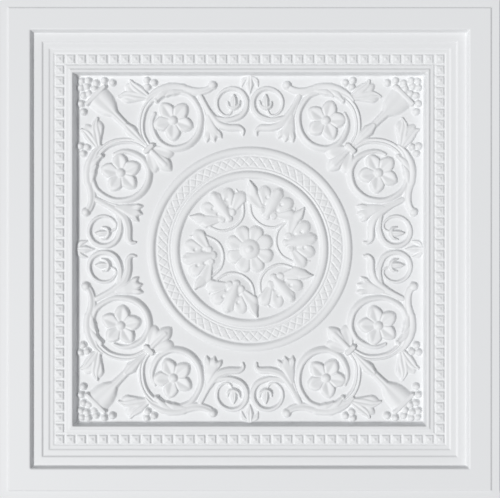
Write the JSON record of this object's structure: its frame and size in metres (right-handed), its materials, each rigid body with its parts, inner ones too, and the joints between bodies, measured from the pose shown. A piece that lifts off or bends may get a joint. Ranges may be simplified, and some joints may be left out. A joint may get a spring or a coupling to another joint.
{
  "type": "drop ceiling tile",
  "caption": "Square white lay-in ceiling tile of formed plastic sheet, with a stepped border and a sunk field of scrolls round a medallion.",
  "frame": {"origin": "underside of the sunk field, at the centre of the tile", "axes": "+Z out of the decorated face, away from the floor that the tile lies on; X and Y along its sides"},
  "size_m": [0.603, 0.603, 0.0187],
  "materials": {
    "pvc_sheet": "matte"
  },
  "bodies": {
    "root": {"ceiling_tile": "pvc_sheet"}
  },
  "joints": []
}
